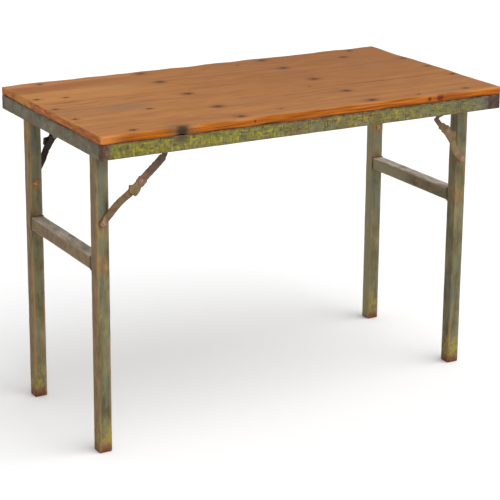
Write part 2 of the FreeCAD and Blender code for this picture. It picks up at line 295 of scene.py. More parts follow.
wood, tree, shader, place = new_material("plank_wood")
plank = add(tree, "ShaderNodeAttribute", attribute_name="plank").outputs["Fac"]
iron_stain = add(tree, "ShaderNodeAttribute", attribute_name="iron_stain").outputs["Fac"]
x, y, z = split(tree, place)
shift = add(tree, "ShaderNodeCombineXYZ", {0: calc(tree, "MULTIPLY", plank, 2.7), 1: plank}).outputs[0]
own = add(tree, "ShaderNodeVectorMath", {0: place, 1: shift}, operation="ADD").outputs[0]
drift = calc(tree, "MULTIPLY", speckle(tree, own, (2.6, 8, 8), detail=3), 0.09)
flow = add(tree, "ShaderNodeCombineXYZ", {1: drift}).outputs[0]
along = add(tree, "ShaderNodeVectorMath", {0: own, 1: flow}, operation="ADD").outputs[0]
fibre = speckle(tree, along, (7, 420, 420), detail=5, rough=0.7)
rings = speckle(tree, along, (2.2, 85, 85), detail=3)
cloud = speckle(tree, own, (5, 14, 14), detail=3)
tone = calc(tree, "ADD", calc(tree, "MULTIPLY", fibre, 0.4), calc(tree, "MULTIPLY", rings, 0.38))
tone = calc(tree, "ADD", tone, calc(tree, "MULTIPLY", speckle(tree, own, (14, 30, 30), detail=5), 0.22))
shade = ramp(tree, tone, [
    (0.32, colour(114, 68, 30)), (0.42, colour(148, 94, 46)), (0.5, colour(164, 107, 54)),
    (0.6, colour(176, 119, 64)), (0.74, colour(192, 136, 80)),
])
shade = coat(tree, calc(tree, "MULTIPLY", between(tree, cloud, 0.5, 0.8), 0.5), shade, colour(166, 116, 56))
greyed = speckle(tree, place, (3, 6, 6), detail=3, shift=(4, 0, 2))
shade = coat(tree, calc(tree, "MULTIPLY", between(tree, greyed, 0.48, 0.7), 0.4), shade, colour(140, 98, 62))
# Painted shade: the top is darker towards the back right.
back_right_shade = calc(tree, "MULTIPLY", between(tree, x, -0.5, 0.25), between(tree, y, -0.5, 0.25))
shade = coat(tree, calc(tree, "MULTIPLY", back_right_shade, 0.55), shade, colour(128, 78, 36))
red_share = calc(tree, "MULTIPLY", window(tree, y, 0.19, 0.242, 0.016), between(tree, x, -0.1, -0.4))
shade = coat(tree, calc(tree, "MULTIPLY", red_share, 0.6), shade, colour(132, 72, 32))
pale_share = calc(tree, "MULTIPLY", window(tree, y, 0.08, 0.165, 0.02), between(tree, x, -0.1, -0.36))
shade = coat(tree, calc(tree, "MULTIPLY", pale_share, 0.4), shade, colour(184, 128, 58))
smudge = spot(tree, place, (-0.365, -0.05, top_face), (0.06, 0.04, 0.01))
shade = coat(tree, calc(tree, "MULTIPLY", smudge, 0.5), shade, colour(126, 96, 62))
knots = [
    (0.391, 0.196, 0.013), (-0.327, -0.096, 0.008), (-0.451, 0.1, 0.007), (0.09, 0.232, 0.005),
    (0.31, -0.262, 0.006), (-0.06, -0.24, 0.005), (0.125, -0.065, 0.004),
]
for knot_x, knot_y, size in knots:
    mark = spot(tree, place, (knot_x, knot_y, top_face), (2.6 * size, 1.5 * size, 0.01), ragged=0.6)
    shade = coat(tree, calc(tree, "MULTIPLY", mark, 0.3), shade, colour(132, 74, 40))
    mark = spot(tree, place, (knot_x, knot_y, top_face), (1.3 * size, size, 0.01), ragged=0.3)
    shade = coat(tree, calc(tree, "MULTIPLY", mark, 0.8), shade, colour(74, 38, 20))
seam_share = 0.0
for seam_y, low_x, high_x, strength in (
    (-0.0952, -0.51, -0.37, 0.55), (-0.0952, 0.2, 0.44, 0.75), (-0.0952, -0.37, 0.2, 0.15),
    (0.0952, -0.54, 0.54, 0.18), (0.028, 0.03, 0.13, 0.3),
):
    wander = calc(tree, "MULTIPLY", calc(tree, "SUBTRACT", cloud, 0.5), 0.01)
    across = calc(tree, "ADD", y, wander)
    line = calc(tree, "MULTIPLY", window(tree, across, seam_y - 0.0012, seam_y + 0.0012, 0.0018), strength)
    line = calc(tree, "MULTIPLY", line, window(tree, x, low_x, high_x, 0.02))
    seam_share = calc(tree, "MAXIMUM", seam_share, line)
shade = coat(tree, seam_share, shade, colour(70, 38, 18))
stain_share = calc(tree, "MULTIPLY", iron_stain, calc(tree, "ADD", cloud, 0.35))
shade = coat(tree, stain_share, shade, colour(80, 45, 20))
specks = between(tree, speckle(tree, own, (60, 130, 130), detail=2), 0.7, 0.78)
shade = coat(tree, calc(tree, "MULTIPLY", specks, 0.4), shade, colour(92, 54, 28))
cracks = between(tree, speckle(tree, along, (3.5, 190, 190), detail=2, shift=(7, 3, 1)), 0.3, 0.22)
shade = coat(tree, calc(tree, "MULTIPLY", cracks, 0.55), shade, colour(84, 48, 24))
edge_tone = ramp(tree, speckle(tree, own, (9, 60, 260), detail=4), [
    (0.3, colour(104, 48, 4)), (0.45, colour(140, 72, 6)), (0.56, colour(160, 86, 8)), (0.72, colour(188, 114, 28)),
])
pale_edge = calc(tree, "MULTIPLY", between(tree, x, -0.46, -0.535), 0.6)
edge_tone = coat(tree, pale_edge, edge_tone, colour(204, 130, 62))
end_tone = ramp(tree, speckle(tree, own, (60, 40, 160), detail=4), [
    (0.3, colour(122, 62, 18)), (0.5, colour(166, 92, 32)), (0.75, colour(188, 118, 50)),
])
end_tone = coat(tree, calc(tree, "MULTIPLY", window(tree, y, 0.105, 0.19, 0.01), 0.55), end_tone, colour(190, 134, 54))
dirty_end = between(tree, speckle(tree, own, (40, 26, 90), detail=3, shift=(1, 5, 2)), 0.52, 0.66)
end_tone = coat(tree, calc(tree, "MULTIPLY", dirty_end, 0.5), end_tone, colour(104, 58, 26))
far_out = between(tree, calc(tree, "ABSOLUTE", x), table_high.x - 0.004, table_high.x - 0.0015)
edge_tone = coat(tree, far_out, edge_tone, end_tone)
for knot_x, size in ((0.327, 0.005), (0.358, 0.009), (-0.155, 0.003)):
    mark = spot(tree, place, (knot_x, table_low.y, top_face - 0.009), (1.2 * size, 0.02, 1.2 * size), ragged=0.5)
    edge_tone = coat(tree, calc(tree, "MULTIPLY", mark, 0.85), edge_tone, colour(84, 26, 8))
low_edge = between(tree, z, top_face - 0.014, top_face - 0.02)
edge_tone = coat(tree, calc(tree, "MULTIPLY", low_edge, 0.6), edge_tone, colour(72, 36, 12))
edge_line = calc(tree, "MULTIPLY", speckle(tree, own, (30, 120, 120), detail=3), 0.0016)
side = between(tree, calc(tree, "ADD", z, edge_line), top_face + 0.0004, top_face - 0.0008)
shade = coat(tree, side, shade, edge_tone)
rubbed = add(tree, "ShaderNodeAttribute", attribute_name="rubbed").outputs["Fac"]
shade = coat(tree, calc(tree, "MULTIPLY", rubbed, 0.5), shade, colour(196, 136, 84))
grime = spot(tree, place, (-0.342, table_low.y, top_face - 0.006), (0.032, 0.026, 0.03), ragged=1.2)
shade = coat(tree, calc(tree, "MULTIPLY", grime, 0.6), shade, colour(90, 76, 54))
grime = spot(tree, place, (-0.34, table_low.y, top_face - 0.009), (0.015, 0.012, 0.014), ragged=0.9)
shade = coat(tree, calc(tree, "MULTIPLY", grime, 0.9), shade, colour(44, 36, 24))
# Painted shadow along the foot of the planks and under them, where they meet the rim.
under = between(tree, z, top_face - 0.0188, top_face - 0.0198)
shade = coat(tree, calc(tree, "MULTIPLY", under, 0.75), shade, colour(88, 56, 32))
gloss = calc(tree, "ADD", calc(tree, "MULTIPLY", cloud, 0.3), 0.46)
height = calc(tree, "ADD", calc(tree, "MULTIPLY", fibre, 0.6), calc(tree, "MULTIPLY", rings, 0.4))
height = calc(tree, "SUBTRACT", height, calc(tree, "MULTIPLY", cracks, 0.6))
finish_with(tree, shader, shade, gloss, height, 0.0006)
shader.inputs["Specular IOR Level"].default_value = 0.12

board_ease = 0.001
rub_reach = 0.010
rub_depth = 0.0028
bruises = [(-0.342, 0.004, 0.012), (-0.12, 0.0012, 0.02), (0.21, 0.0015, 0.014), (0.47, 0.001, 0.02)]


def rub(mesh, low, high):
    """Rubs a block's edges away unevenly, bruises its front edge, and gives each point's wear."""
    worn = []
    for vertex in mesh.vertices:
        at = vertex.co.copy()
        near = [max(0.0, 1 - min(at[n] - low[n], high[n] - at[n]) / rub_reach) for n in range(3)]
        inward = Vector([near[n] * (1 if at[n] < (low[n] + high[n]) / 2 else -1) for n in range(3)])
        edge = sorted(near)[1]
        uneven = max(0.0, 0.3 + noise.noise(Vector((at.x * 14, at.y * 14, at.z * 30))))
        deep = rub_depth * edge ** 2 * uneven
        corner = near[0] * near[1] if at.x < 0 and at.y < 0 else 0.0
        deep += 0.004 * corner
        for where, depth, reach in bruises:
            if at.y < low.y + rub_reach:
                deep += depth * edge * math.exp(-((at.x - where) / reach) ** 2)
        if deep and inward.length:
            vertex.co += inward.normalized() * deep
        worn.append(min(1.0, 1.6 * edge * uneven + 3 * corner) if at.z > high.z - 0.004 else corner)
        if at.z > high.z - 0.0005:
            vertex.co.z -= max(0.0, 0.00035 * (0.5 + noise.noise(Vector((at.x * 6, at.y * 20, 3.0)))))
    return worn


marker = as_piece("screw_places", bpy.data.meshes.new("screw_places"))
marker.data.from_pydata(screw_centres, [], [])
for number, name in enumerate(("board_front", "board_middle", "board_back")):
    low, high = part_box(name)
    block = eased_box(low, high, (0.008, 0.006, 0.006), board_ease)
    board = as_piece(name + "_plank", as_mesh(name, block))
    grow(board, countersink, {
        "Screws": marker, "Head radius": screw_head_radius * 1.06, "Shank radius": 0.003,
        "Depth": 0.0042, "Material": wood,
    })
    worn = rub(board.data, Vector((table_low.x, table_low.y, low.z)), Vector(table_high))
    rubbed = board.data.attributes.new("rubbed", "FLOAT", "POINT")
    rubbed.data.foreach_set("value", worn)
    plank = board.data.attributes.new("plank", "FLOAT", "POINT")
    stain = board.data.attributes.new("iron_stain", "FLOAT", "POINT")
    for vertex in board.data.vertices:
        plank.data[vertex.index].value = number
        marks = []
        for c in screw_centres:
            wide = 0.017 if abs(c.x) < 0.2 else 0.012
            away = math.hypot((vertex.co.x - c.x) / wide, (vertex.co.y - c.y) / (0.8 * wide))
            marks.append((1.1 if abs(c.x) < 0.2 else 0.8) * math.exp(-away ** 2))
        stain.data[vertex.index].value = max(marks)
    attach(board, "top")
    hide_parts(name)

dirt, tree, shader, place = new_material("seam_dirt")
clouds = speckle(tree, place, (80, 300, 300), detail=4)
shade = ramp(tree, clouds, [(0.3, colour(34, 22, 14)), (0.55, colour(62, 40, 24)), (0.75, colour(92, 62, 36))])
finish_with(tree, shader, shade, 0.95, clouds, 0.0006)
dirt_overlap = 0.0001
dirt_depth = 0.004
for name, ahead in (("front", "middle"), ("middle", "back")):
    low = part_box("board_" + name)
    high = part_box("board_" + ahead)
    corner_low = Vector((low[0].x + 0.002, low[1].y - dirt_overlap, low[0].z + 0.0005))
    corner_high = Vector((low[1].x - 0.002, high[0].y + dirt_overlap, high[1].z - dirt_depth))
    seam = eased_box(corner_low, corner_high, (0.01, 0.002, 0.004), 0.0002)
    for vertex in seam.verts:
        if vertex.co.z > corner_high.z - 0.0005:
            vertex.co.z += 0.0016 * noise.noise(Vector((vertex.co.x * 40, vertex.co.y * 40, 1.0)))
    seam = as_piece("seam_dirt_" + name, as_mesh("seam_dirt_" + name, seam), dirt)
    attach(seam, "top")

# ------------------------------------------------------------------ screws
# Twenty slotted countersunk wood screws through planks and iron. Rust has turned their heads
# nearly black, and their cut ends show under the iron.
screw_low, screw_high = screw_boxes[0]

tree, given, out = new_tree("slotted screw", [
    ("Head radius", "Float"), ("Shank radius", "Float"), ("Length", "Float"),
    ("Slot width", "Float"), ("Seed", "Int"), ("Material", "Material"),
])
head_depth = calc(tree, "SUBTRACT", given["Head radius"], calc(tree, "MULTIPLY", given["Shank radius"], 0.85))
head = add(tree, "GeometryNodeMeshCone", {
    "Vertices": 28, "Radius Top": given["Head radius"], "Radius Bottom": given["Shank radius"], "Depth": head_depth,
})
down = add(tree, "ShaderNodeCombineXYZ", {"Z": calc(tree, "MULTIPLY", head_depth, -1.0)}).outputs[0]
head = add(tree, "GeometryNodeTransform", {"Geometry": head.outputs["Mesh"], "Translation": down})
slot_size = add(tree, "ShaderNodeCombineXYZ", {
    "X": calc(tree, "MULTIPLY", given["Head radius"], 2.4), "Y": given["Slot width"], "Z": head_depth,
})
slot = add(tree, "GeometryNodeMeshCube", {"Size": slot_size.outputs[0]})
cut = add(tree, "GeometryNodeMeshBoolean", {0: head.outputs[0], 1: slot.outputs[0]}, operation="DIFFERENCE")
shank = add(tree, "GeometryNodeMeshCylinder", {
    "Vertices": 14, "Radius": given["Shank radius"], "Depth": calc(tree, "SUBTRACT", given["Length"], head_depth),
})
middle = calc(tree, "MULTIPLY", calc(tree, "ADD", given["Length"], head_depth), -0.5)
lower = add(tree, "ShaderNodeCombineXYZ", {"Z": middle}).outputs[0]
shank = add(tree, "GeometryNodeTransform", {"Geometry": shank.outputs["Mesh"], "Translation": lower})
whole = tree.nodes.new("GeometryNodeJoinGeometry")
tree.links.new(cut.outputs[0], whole.inputs[0])
tree.links.new(shank.outputs[0], whole.inputs[0])
turn = add(tree, "FunctionNodeRandomValue", {
    0: (-0.03, -0.03, 0.0), 1: (0.03, 0.03, math.pi), "Seed": given["Seed"],
}, data_type="FLOAT_VECTOR")
set_in = add(tree, "GeometryNodeInstanceOnPoints", {
    "Points": given["Geometry"], "Instance": whole.outputs[0], "Rotation": turn.outputs[0],
})
real = add(tree, "GeometryNodeRealizeInstances", {0: set_in.outputs[0]})
painted = add(tree, "GeometryNodeSetMaterial", {"Geometry": real.outputs[0], "Material": given["Material"]})
tree.links.new(painted.outputs[0], out[0])

screw_steel, rust_tree, shader, place = new_material("screw_steel")
clouds = speckle(rust_tree, place, (500, 500, 500), detail=4)
shade = ramp(rust_tree, clouds, [(0.3, colour(48, 32, 22)), (0.55, colour(78, 52, 34)), (0.75, colour(112, 74, 44))])
finish_with(rust_tree, shader, shade, 0.62, clouds, 0.0003)
shader.inputs["Metallic"].default_value = 0.45

sunk_by = 0.0005
seats = bpy.data.meshes.new("screws")
seats.from_pydata([centre - Vector((0, 0, sunk_by)) for centre in screw_centres], [], [])
screws = as_piece("top_screws_slotted", seats)
grow(screws, tree, {
    "Head radius": screw_head_radius, "Shank radius": 0.003, "Length": screw_high.z - screw_low.z - sunk_by,
    "Slot width": 0.0013, "Seed": 7, "Material": screw_steel,
})
bpy.data.objects.remove(marker)
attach(screws, "top")
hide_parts("top_screws")

# ------------------------------------------------------------------ rim
# Four lengths of hot-rolled angle iron, mitred and welded at the corners with the web hanging
# down outside. Coat on coat of paint, grey-green under lime, blue and yellow, has worn through
# on the front, and rust shows at the corners and along the lower edge.


arc_steps = 4
side_shares = (0.12, 0.37, 0.63, 0.88)


def rounded_outline(corners, radii):
    """A flat outline with each corner rounded to its own radius, and points along its sides."""
    arcs = []
    for number, (corner, radius) in enumerate(zip(corners, radii)):
        here = Vector(corner)
        back = (Vector(corners[number - 1]) - here).normalized()
        ahead = (Vector(corners[(number + 1) % len(corners)]) - here).normalized()
        half = back.angle(ahead) / 2
        centre = here + (back + ahead).normalized() * radius / math.sin(half)
        start = here + back * radius / math.tan(half) - centre
        end = here + ahead * radius / math.tan(half) - centre
        turn = [start.lerp(end, step / arc_steps).normalized() for step in range(arc_steps + 1)]
        arcs.append([centre + way * radius for way in turn])
    outline = []
    for arc, after in zip(arcs, arcs[1:] + arcs[:1]):
        outline += arc + [arc[-1].lerp(after[0], share) for share in side_shares]
    return outline


def mark_edges(mesh, count):
    """Stores where a loft's rounded edges are, for rings of count points."""
    edges = mesh.attributes.new("edge", "FLOAT", "POINT")
    period = arc_steps + 1 + len(side_shares)
    for vertex in mesh.vertices:
        edges.data[vertex.index].value = float(vertex.index % count % period <= arc_steps)


def loft(loops):
    """A closed skin through rings of points, with flat ends."""
    shape = bmesh.new()
    rings = [[shape.verts.new(point) for point in loop] for loop in loops]
    count = len(rings[0])
    for first, second in zip(rings, rings[1:]):
        for i in range(count):
            j = (i + 1) % count
            shape.faces.new((first[i], first[j], second[j], second[i]))
    shape.faces.new(rings[0])
    shape.faces.new(rings[-1])
    bmesh.ops.recalc_face_normals(shape, faces=shape.faces)
    return shape


def weather(shape, depth, size, seed):
    """Moves a skin in and out by up to depth, in dents about size across."""
    shape.normal_update()
    moves = [v.normal * depth * noise.noise(v.co / size + Vector((seed, 0, 0))) for v in shape.verts]
    for vertex, move in zip(shape.verts, moves):
        vertex.co += move


def painted_iron(name, low, high, front):
    """Old paint on the rim. front is 1 where the faces with the worn coats show, else 0."""
    material, tree, shader, place = new_material(name)
    x, y, z = split(tree, place)
    edge = add(tree, "ShaderNodeAttribute", attribute_name="edge").outputs["Fac"]
    clouds = speckle(tree, place, (26, 26, 40), detail=5, rough=0.65)
    shade = ramp(tree, clouds, [
        (0.3, colour(58, 54, 36)), (0.44, colour(88, 82, 58)), (0.56, colour(104, 98, 72)),
        (0.7, colour(124, 118, 90)),
    ])
    blue = between(tree, speckle(tree, place, (24, 24, 60), detail=4, shift=(5, 1, 2)), 0.52, 0.62)
    shade = coat(tree, calc(tree, "MULTIPLY", blue, 0.42), shade, colour(84, 100, 88))
    brown = between(tree, speckle(tree, place, (16, 16, 40), detail=4, shift=(2, 6, 2)), 0.48, 0.62)
    shade = coat(tree, calc(tree, "MULTIPLY", brown, 0.65), shade, colour(100, 74, 46))
    facing = 0.0
    if front:
        facing = between(tree, y, low.y + 0.0025, low.y + 0.0008)
        length = calc(tree, "MULTIPLY_ADD", x, 1 / (high.x - low.x), 0.5)
        dense = ramp(tree, length, [
            (0.0, (0, 0, 0, 1)), (0.012, (0.3, 0.3, 0.3, 1)), (0.03, (1, 1, 1, 1)),
            (0.4, (0.85, 0.85, 0.85, 1)), (0.47, (0.45, 0.45, 0.45, 1)), (0.57, (0.7, 0.7, 0.7, 1)),
            (0.86, (0.6, 0.6, 0.6, 1)), (0.93, (0.5, 0.5, 0.5, 1)), (0.96, (0, 0, 0, 1)),
        ])
        teal = between(tree, speckle(tree, place, (30, 30, 90), detail=4, shift=(1, 1, 8)), 0.48, 0.6)
        upper = between(tree, z, low.z + 0.006, low.z + 0.022)
        teal = calc(tree, "MULTIPLY", teal, calc(tree, "MULTIPLY", upper, facing))
        shade = coat(tree, calc(tree, "MULTIPLY", teal, 0.65), shade, colour(94, 102, 72))
        upright = speckle(tree, place, (130, 60, 45), detail=3, rough=0.6)
        level = speckle(tree, place, (32, 60, 150), detail=3, rough=0.6, shift=(3, 0, 4))
        flake = calc(tree, "MAXIMUM", upright, level)
        limit = calc(tree, "MULTIPLY_ADD", dense, -0.2, 0.67)
        olive = calc(tree, "MULTIPLY", calc(tree, "MULTIPLY", dense, facing), 0.5)
        shade = coat(tree, olive, shade, colour(98, 94, 34))
        lime_share = between(tree, calc(tree, "SUBTRACT", flake, limit), -0.03, 0.1)
        lime = ramp(tree, speckle(tree, place, (90, 20, 110), detail=3, shift=(9, 2, 6)), [
            (0.33, colour(92, 92, 18)), (0.45, colour(116, 112, 20)), (0.56, colour(136, 126, 24)),
            (0.7, colour(156, 144, 50)),
        ])
        shade = coat(tree, calc(tree, "MULTIPLY", lime_share, calc(tree, "MULTIPLY", facing, 0.9)), shade, lime)
        ochre = between(tree, speckle(tree, place, (120, 50, 160), detail=3, shift=(1, 8, 3)), 0.6, 0.66)
        ochre = calc(tree, "MULTIPLY", ochre, window(tree, x, -0.08, 0.16, 0.05))
        shade = coat(tree, calc(tree, "MULTIPLY", ochre, facing), shade, colour(168, 104, 34))
        dark = speckle(tree, place, (210, 60, 60), detail=3, shift=(2, 2, 9))
        dark = calc(tree, "MAXIMUM", dark, speckle(tree, place, (40, 60, 260), detail=3, shift=(6, 2, 1)))
        dark = calc(tree, "MULTIPLY", between(tree, dark, 0.56, 0.64), facing)
        shade = coat(tree, calc(tree, "MULTIPLY", dark, 0.75), shade, colour(44, 38, 12))
        leak = spot(tree, place, (-0.342, low.y, high.z - 0.004), (0.02, 0.02, 0.014), ragged=0.8)
        shade = coat(tree, calc(tree, "MULTIPLY", leak, 0.8), shade, colour(66, 50, 32))
        # Painted shadow along the top of the rim, under the edge of the planks.
        plank_shadow_line = between(tree, z, high.z - 0.006, high.z - 0.001)
        shade = coat(tree, calc(tree, "MULTIPLY", plank_shadow_line, 0.75), shade, colour(58, 40, 22))
    ends = [calc(tree, "ABSOLUTE", side) for side in (x, y)]
    wander = calc(tree, "MULTIPLY", speckle(tree, place, (40, 40, 40), detail=3), 0.016)
    reach = calc(tree, "ADD", ends[0], wander)
    corner = calc(tree, "MULTIPLY", between(tree, reach, high.x - 0.014, high.x - 0.008),
                  between(tree, calc(tree, "ADD", ends[1], wander), high.y - 0.012, high.y - 0.004))
    right_end = calc(tree, "MULTIPLY", between(tree, x, high.x - 0.038, high.x - 0.032), facing)
    corner = calc(tree, "MAXIMUM", corner, right_end)
    chips = between(tree, speckle(tree, place, (60, 60, 60), detail=5, shift=(4, 4, 1)), 0.55, 0.66)
    lip = between(tree, z, low.z + 0.0035, low.z + 0.0008)
    rust_share = calc(tree, "MAXIMUM", corner, calc(tree, "MULTIPLY", chips, 0.45))
    rust_share = calc(tree, "MAXIMUM", rust_share, calc(tree, "MULTIPLY", lip, 0.8))
    rust = ramp(tree, speckle(tree, place, (90, 90, 90), detail=4), [
        (0.3, colour(48, 30, 24)), (0.5, colour(78, 50, 38)), (0.7, colour(112, 76, 54)),
    ])
    shade = coat(tree, calc(tree, "MULTIPLY", rust_share, 0.9), shade, rust)
    shade = coat(tree, calc(tree, "MULTIPLY", right_end, 0.55), shade, colour(44, 28, 26))
    pale_rounded_edges = calc(tree, "MULTIPLY", edge, between(tree, speckle(tree, place, (50, 50, 50), detail=4), 0.45, 0.6))
    shade = coat(tree, calc(tree, "MULTIPLY", pale_rounded_edges, 0.5), shade, colour(134, 104, 74))
    height = calc(tree, "ADD", clouds, calc(tree, "MULTIPLY", chips, -0.5))
    finish_with(tree, shader, shade, 0.6, height, 0.0008)
    shader.inputs["Specular IOR Level"].default_value = 0.3
    return material


rim_low, rim_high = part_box("rail_front")
rim_back_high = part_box("rail_back")[1]
angle_leg = rim_high.y - rim_low.y
angle_wall = 0.004
rim_corners = Vector((rim_low.x, rim_low.y, rim_low.z)), Vector((rim_high.x, rim_back_high.y, rim_high.z))
rim_paint = painted_iron("rim_paint", *rim_corners, front=1)
angle_section = rounded_outline(
    [(0, rim_high.z), (0, rim_low.z), (angle_wall, rim_low.z), (angle_wall, rim_high.z - angle_wall),
     (angle_leg, rim_high.z - angle_wall), (angle_leg, rim_high.z)],
    [0.0012, 0.0009, 0.0012, 0.0028, 0.0012, 0.0006],
)


def rail(name, half_span, outer, turns, seed):
    """One side of the rim: outer is its outer face's distance from the middle of the table."""
    count = round(2 * half_span / 0.009)
    loops = []
    for step in range(count + 1):
        share = 2 * step / count - 1
        loops.append([Vector((share * (half_span - d), -outer + d, z)) for d, z in angle_section])
    shape = loft(loops)
    weather(shape, 0.00035, 0.035, seed)
    bmesh.ops.transform(shape, matrix=Matrix.Rotation(math.radians(90 * turns), 4, "Z"), verts=shape.verts)
    piece = as_piece(name + "_angle", as_mesh(name, shape), rim_paint)
    mark_edges(piece.data, len(angle_section))
    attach(piece, "top")
    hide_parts(name)


rail("rail_front", rim_high.x, -rim_low.y, 0, 1.3)
rail("rail_right", -rim_low.y, rim_high.x, 1, 4.1)
rail("rail_back", rim_high.x, -rim_low.y, 2, 7.7)
rail("rail_left", -rim_low.y, rim_high.x, 3, 9.2)

# ------------------------------------------------------------------ bearers and hinge ears
# Two flat bars cross under the planks and take the middle screws. Eight cut plates hang from the
# end rails, two to a leg, and carry the hinge bolts. All had one thin coat of the same green.


def worn_copy(node, body, material, cell, rounds, dent, seed):
    """A cut or forged piece, remade from its CAD solid with soft edges and an uneven face."""
    shape = merged_copy(node)
    piece = as_piece(node + "_worn", as_mesh(node, shape))
    mould = piece.modifiers.new("even skin", "REMESH")
    mould.mode = "VOXEL"
    mould.voxel_size = cell
    soften = piece.modifiers.new("soft edges", "SMOOTH")
    soften.factor = 0.5
    soften.iterations = rounds
    graph = bpy.context.evaluated_depsgraph_get()
    result = bpy.data.meshes.new_from_object(piece.evaluated_get(graph))
    piece.modifiers.clear()
    shape = bmesh.new()
    shape.from_mesh(result)
    weather(shape, dent, 0.006, seed)
    low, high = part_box(node)
    for vertex in shape.verts:
        vertex.co = [min(max(vertex.co[n], low[n]), high[n]) for n in range(3)]
    piece.data = as_mesh(node + "_worn", shape)
    piece.data.materials.append(material)
    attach(piece, body)
    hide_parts(node)
    return piece


under_paint = painted_iron("underside_paint", *rim_corners, front=0)
for name in ("bearer_left", "bearer_right"):
    low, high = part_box(name)
    shape = eased_box(low, high, (0.012, 0.012, 0.002), 0.0007)
    weather(shape, 0.0002, 0.03, low.x * 10)
    piece = as_piece(name + "_bar", as_mesh(name, shape), under_paint)
    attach(piece, "top")
    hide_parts(name)
for seed, name in enumerate(("hinge_ears_left", "hinge_ears_right")):
    worn_copy(name, "top", under_paint, 0.001, 3, 0.0002, 2.0 + seed)

# ------------------------------------------------------------------ legs and cross bars
# Square steel tube with rolled corners. Each leg's top end is half round so that it clears the
# rim as it folds, and a cross bar is welded between each pair. The grey-green paint has run,
# rubbed and rusted in streaks down the tube, most on the faces that look out from the ends.


def tube_paint(name, bare_top):
    """Old paint on tube. bare_top is 1 on a bar whose upper face is rubbed to the primer."""
    material, tree, shader, place = new_material(name)
    x, y, z = split(tree, place)
    edge = add(tree, "ShaderNodeAttribute", attribute_name="edge").outputs["Fac"]
    runs = speckle(tree, place, (110, 9, 110) if bare_top else (110, 110, 9), detail=5, rough=0.65)
    clouds = speckle(tree, place, (30, 16, 30) if bare_top else (30, 30, 16), detail=4, shift=(3, 1, 7))
    shade = ramp(tree, clouds, [
        (0.3, colour(72, 66, 38)), (0.44, colour(94, 88, 56)), (0.56, colour(108, 101, 68)),
        (0.72, colour(128, 118, 78)),
    ])
    grey = between(tree, speckle(tree, place, (40, 40, 12), detail=3, shift=(8, 8, 2)), 0.5, 0.62)
    shade = coat(tree, calc(tree, "MULTIPLY", grey, 0.65), shade, colour(90, 98, 82))
    shade = coat(tree, calc(tree, "MULTIPLY", between(tree, runs, 0.48, 0.36), 0.5), shade, colour(62, 54, 30))
    outward = between(tree, calc(tree, "ABSOLUTE", x), leg_out - 0.0025, leg_out - 0.0008)
    inward = between(tree, calc(tree, "ABSOLUTE", x), leg_in + 0.0025, leg_in + 0.0008)
    left_side = between(tree, x, 0.1, -0.1)
    streak = between(tree, runs, 0.55, 0.66)
    feet = between(tree, calc(tree, "ADD", z, calc(tree, "MULTIPLY", runs, 0.12)), 0.115, 0.05)
    rivets = window(tree, z, rivet_height - 0.022, rivet_height + 0.014, 0.016)
    joint = window(tree, z, bar_low.z - 0.004, bar_high.z + 0.012, 0.01)
    top_end = between(tree, z, bar_high.z + 0.2, bar_high.z + 0.235)
    out_share = calc(tree, "MULTIPLY", outward, calc(tree, "MULTIPLY", left_side, 0.7))
    streak = calc(tree, "MULTIPLY", streak, calc(tree, "MULTIPLY_ADD", left_side, 0.4, 0.35))
    around = calc(tree, "MULTIPLY", calc(tree, "ADD", rivets, joint), between(tree, clouds, 0.38, 0.58))
    around = calc(tree, "MAXIMUM", around, calc(tree, "MULTIPLY", top_end, between(tree, runs, 0.4, 0.6)))
    strip = window(tree, calc(tree, "ADD", x, leg_out), 0.0015, 0.0065, 0.0015)
    rust_share = calc(tree, "MAXIMUM", streak, calc(tree, "MAXIMUM", out_share, feet))
    rust_share = calc(tree, "MAXIMUM", rust_share, calc(tree, "MULTIPLY", around, 0.75))
    rust_share = calc(tree, "MAXIMUM", rust_share, calc(tree, "MULTIPLY", strip, 0.3))
    rust = ramp(tree, speckle(tree, place, (80, 80, 26), detail=5), [
        (0.3, colour(84, 46, 24)), (0.45, colour(114, 78, 38)), (0.58, colour(134, 98, 46)),
        (0.74, colour(154, 126, 66)),
    ])
    shade = coat(tree, calc(tree, "MULTIPLY", rust_share, 0.85), shade, rust)
    low_rust = between(tree, z, 0.03, 0.012)
    shade = coat(tree, calc(tree, "MULTIPLY", low_rust, 0.7), shade, colour(98, 46, 20))
    # Painted light: the inner faces of the back legs are made paler.
    back_inner_light = calc(tree, "MULTIPLY", inward, between(tree, y, 0.0, 0.1))
    shade = coat(tree, calc(tree, "MULTIPLY", back_inner_light, 0.5), shade, colour(146, 140, 104))
    yellow = between(tree, speckle(tree, place, (130, 130, 70), detail=3, shift=(6, 3, 5)), 0.49, 0.57)
    yellow = calc(tree, "MULTIPLY", yellow, window(tree, z, 0.02, 0.075, 0.02))
    shade = coat(tree, calc(tree, "MULTIPLY", yellow, 0.85), shade, colour(138, 122, 30))
    # Paler rounded corners: partly worn paint, partly a painted highlight along the corners.
    pale_rounded_edges = calc(tree, "MULTIPLY", edge, between(tree, runs, 0.4, 0.56))
    shade = coat(tree, calc(tree, "MULTIPLY", pale_rounded_edges, 0.65), shade, colour(146, 112, 70))
    if bare_top:
        upper = between(tree, z, bar_high.z - 0.003, bar_high.z - 0.0008)
        primer = ramp(tree, speckle(tree, place, (60, 18, 60), detail=5), [
            (0.35, colour(132, 116, 96)), (0.5, colour(176, 164, 146)), (0.68, colour(208, 200, 188)),
        ])
        shade = coat(tree, calc(tree, "MULTIPLY", upper, 0.85), shade, primer)
    height = calc(tree, "ADD", clouds, calc(tree, "MULTIPLY", streak, -0.4))
    finish_with(tree, shader, shade, 0.55, height, 0.0007)
    shader.inputs["Specular IOR Level"].default_value = 0.3
    return material


def ring(centre, half_x, half_y, radius):
    """A level ring round a tube, as a rounded oblong."""
    corner = min(radius, 0.9 * half_x)
    sides = [(half_x, half_y), (-half_x, half_y), (-half_x, -half_y), (half_x, -half_y)]
    return [Vector((centre.x + a, centre.y + b, centre.z)) for a, b in rounded_outline(sides, [corner] * 4)]


